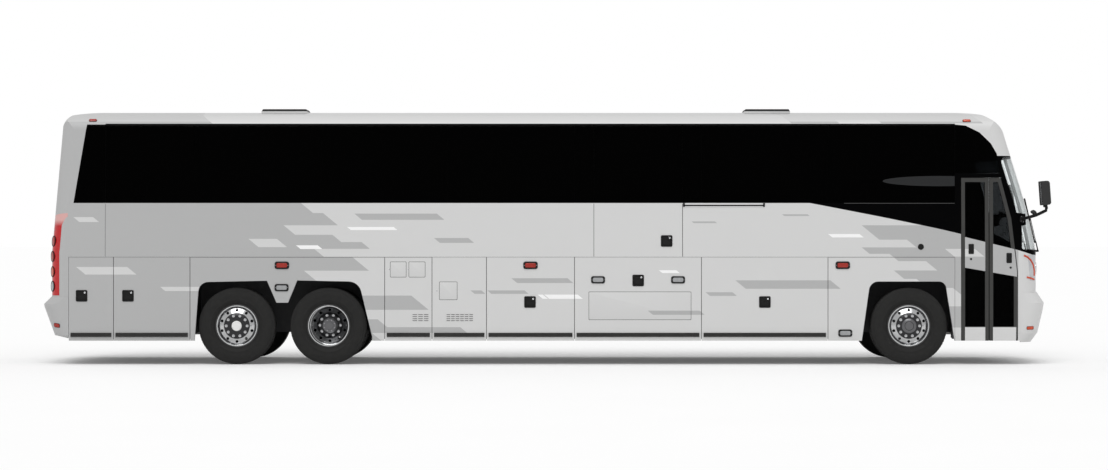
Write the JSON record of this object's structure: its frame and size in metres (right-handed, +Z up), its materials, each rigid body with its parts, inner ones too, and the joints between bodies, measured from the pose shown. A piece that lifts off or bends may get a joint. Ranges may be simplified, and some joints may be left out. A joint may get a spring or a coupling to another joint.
{
  "type": "three-axle coach bus",
  "caption": "Touring coach with a hollow body, baggage bays, a two-leaf entry door, steered front wheels, twin drive wheels and a tag axle.",
  "frame": {"origin": "on the ground under the middle of the coach's bounding box", "axes": "+X forward, +Y to the coach's left, +Z up"},
  "size_m": [13.9198, 3.42, 3.5401],
  "materials": {
    "body_paint": "gloss",
    "door_frame": "satin",
    "tinted_glass": "gloss",
    "screen_glass": "gloss",
    "lamp_clear": "gloss",
    "lamp_red": "gloss",
    "black_trim": "matte",
    "tyre_rubber": "matte",
    "wheel_alloy": "polished",
    "frame_steel": "satin",
    "engine_iron": "rough",
    "cabin_floor": "matte",
    "cabin_plastic": "matte",
    "seat_fabric": "woven"
  },
  "bodies": {
    "coach": {"bay_floor": "frame_steel", "belt_rails": "frame_steel", "bulkheads": "frame_steel", "bumpers": "body_paint", "dash": "cabin_plastic", "door_posts": "frame_steel", "drive_axle": "frame_steel", "engine": "engine_iron", "floor_deck": "cabin_floor", "front_axle": "frame_steel", "head_lamps": "lamp_clear", "lift_door": "body_paint", "lower_panels": "body_paint", "mirrors": "black_trim", "nose_cap": "body_paint", "roof": "body_paint", "seats": "seat_fabric", "side_panes": "tinted_glass", "tag_axle": "frame_steel", "tail_cap": "body_paint", "tail_lamps": "lamp_red", "underframe": "frame_steel", "wall_left": "body_paint", "wall_right": "body_paint", "wheelhouses": "frame_steel", "windscreen": "screen_glass", "wipers": "black_trim"},
    "knuckle_left": {"knuckle_left": "frame_steel"},
    "front_wheel_left": {"wheel_front_left": "wheel_alloy", "tyre_front_left": "tyre_rubber"},
    "drive_wheels_left": {"wheels_drive_left": "wheel_alloy", "tyres_drive_left": "tyre_rubber"},
    "tag_wheel_left": {"wheel_tag_left": "wheel_alloy", "tyre_tag_left": "tyre_rubber"},
    "knuckle_right": {"knuckle_right": "frame_steel"},
    "front_wheel_right": {"wheel_front_right": "wheel_alloy", "tyre_front_right": "tyre_rubber"},
    "drive_wheels_right": {"wheels_drive_right": "wheel_alloy", "tyres_drive_right": "tyre_rubber"},
    "tag_wheel_right": {"wheel_tag_right": "wheel_alloy", "tyre_tag_right": "tyre_rubber"},
    "entry_leaf_front": {"entry_leaf_front": "door_frame", "entry_glass_front": "tinted_glass"},
    "entry_leaf_rear": {"entry_leaf_rear": "door_frame", "entry_glass_rear": "tinted_glass"},
    "corner_door_right": {"corner_door_right": "body_paint"},
    "tail_door_right": {"tail_door_right": "body_paint"},
    "tail_door_left": {"tail_door_left": "body_paint"},
    "service_door_right": {"service_door_right": "body_paint"},
    "service_door_left": {"service_door_left": "body_paint"},
    "rear_bay_door_right": {"rear_bay_door_right": "body_paint"},
    "rear_bay_door_left": {"rear_bay_door_left": "body_paint"},
    "middle_bay_door_right": {"middle_bay_door_right": "body_paint"},
    "middle_bay_door_left": {"middle_bay_door_left": "body_paint"},
    "front_bay_door_right": {"front_bay_door_right": "body_paint"},
    "front_bay_door_left": {"front_bay_door_left": "body_paint"},
    "engine_door": {"engine_door": "body_paint"},
    "roof_hatch_rear": {"roof_hatch_rear": "black_trim"},
    "roof_hatch_front": {"roof_hatch_front": "black_trim"}
  },
  "joints": [
    {"name": "steer_left", "type": "hinge", "parent": "coach", "child": "knuckle_left", "pos_m": [4.982, 0.95, 0.528], "axis": [0, 0, 1], "range_deg": [-40, 40]},
    {"name": "front_wheel_left_spin", "type": "hinge", "parent": "knuckle_left", "child": "front_wheel_left", "pos_m": [4.982, 1.105, 0.528], "axis": [0, 1, 0], "continuous": true},
    {"name": "drive_wheels_left_spin", "type": "hinge", "parent": "coach", "child": "drive_wheels_left", "pos_m": [-2.977, 0.9325, 0.528], "axis": [0, 1, 0], "continuous": true},
    {"name": "tag_wheel_left_spin", "type": "hinge", "parent": "coach", "child": "tag_wheel_left", "pos_m": [-4.234, 1.105, 0.528], "axis": [0, 1, 0], "continuous": true},
    {"name": "steer_right", "type": "hinge", "parent": "coach", "child": "knuckle_right", "pos_m": [4.982, -0.95, 0.528], "axis": [0, 0, 1], "range_deg": [-40, 40]},
    {"name": "front_wheel_right_spin", "type": "hinge", "parent": "knuckle_right", "child": "front_wheel_right", "pos_m": [4.982, -1.105, 0.528], "axis": [0, 1, 0], "continuous": true},
    {"name": "drive_wheels_right_spin", "type": "hinge", "parent": "coach", "child": "drive_wheels_right", "pos_m": [-2.977, -0.9325, 0.528], "axis": [0, 1, 0], "continuous": true},
    {"name": "tag_wheel_right_spin", "type": "hinge", "parent": "coach", "child": "tag_wheel_right", "pos_m": [-4.234, -1.105, 0.528], "axis": [0, 1, 0], "continuous": true},
    {"name": "entry_front_swing", "type": "hinge", "parent": "coach", "child": "entry_leaf_front", "pos_m": [6.4697, -1.295, 1.4], "axis": [0, 0, 1], "range_deg": [0, 90]},
    {"name": "entry_rear_swing", "type": "hinge", "parent": "coach", "child": "entry_leaf_rear", "pos_m": [5.6903, -1.295, 1.4], "axis": [0, 0, -1], "range_deg": [0, 90]},
    {"name": "corner_door_right_swing", "type": "hinge", "parent": "coach", "child": "corner_door_right", "pos_m": [-5.923, -1.295, 0.9], "axis": [0, 0, 1], "range_deg": [0, 90]},
    {"name": "tail_door_right_swing", "type": "hinge", "parent": "coach", "child": "tail_door_right", "pos_m": [-4.875, -1.295, 0.9], "axis": [0, 0, 1], "range_deg": [0, 90]},
    {"name": "tail_door_left_swing", "type": "hinge", "parent": "coach", "child": "tail_door_left", "pos_m": [-4.875, 1.295, 0.9], "axis": [0, 0, -1], "range_deg": [0, 90]},
    {"name": "service_door_right_swing", "type": "hinge", "parent": "coach", "child": "service_door_right", "pos_m": [-1.183, -1.295, 1.469], "axis": [-1, 0, 0], "range_deg": [0, 90]},
    {"name": "service_door_left_swing", "type": "hinge", "parent": "coach", "child": "service_door_left", "pos_m": [-1.183, 1.295, 1.469], "axis": [1, 0, 0], "range_deg": [0, 90]},
    {"name": "rear_bay_door_right_swing", "type": "hinge", "parent": "coach", "child": "rear_bay_door_right", "pos_m": [-0.207, -1.295, 1.469], "axis": [-1, 0, 0], "range_deg": [0, 90]},
    {"name": "rear_bay_door_left_swing", "type": "hinge", "parent": "coach", "child": "rear_bay_door_left", "pos_m": [-0.207, 1.295, 1.469], "axis": [1, 0, 0], "range_deg": [0, 90]},
    {"name": "middle_bay_door_right_swing", "type": "hinge", "parent": "coach", "child": "middle_bay_door_right", "pos_m": [1.2655, -1.295, 1.469], "axis": [-1, 0, 0], "range_deg": [0, 90]},
    {"name": "middle_bay_door_left_swing", "type": "hinge", "parent": "coach", "child": "middle_bay_door_left", "pos_m": [1.2655, 1.295, 1.469], "axis": [1, 0, 0], "range_deg": [0, 90]},
    {"name": "front_bay_door_right_swing", "type": "hinge", "parent": "coach", "child": "front_bay_door_right", "pos_m": [3.0015, -1.295, 1.469], "axis": [-1, 0, 0], "range_deg": [0, 90]},
    {"name": "front_bay_door_left_swing", "type": "hinge", "parent": "coach", "child": "front_bay_door_left", "pos_m": [3.0015, 1.295, 1.469], "axis": [1, 0, 0], "range_deg": [0, 90]},
    {"name": "engine_door_swing", "type": "hinge", "parent": "coach", "child": "engine_door", "pos_m": [-6.8077, 0, 2.0397], "axis": [0, 1, 0], "range_deg": [0, 80]},
    {"name": "roof_hatch_rear_lift", "type": "hinge", "parent": "coach", "child": "roof_hatch_rear", "pos_m": [-3.99, 0, 3.5103], "axis": [0, -1, 0], "range_deg": [0, 60]},
    {"name": "roof_hatch_front_lift", "type": "hinge", "parent": "coach", "child": "roof_hatch_front", "pos_m": [2.788, 0, 3.5103], "axis": [0, -1, 0], "range_deg": [0, 60]}
  ],
  "couplings": [
    {"joint": "steer_right", "follows": "steer_left", "ratio": 1}
  ]
}
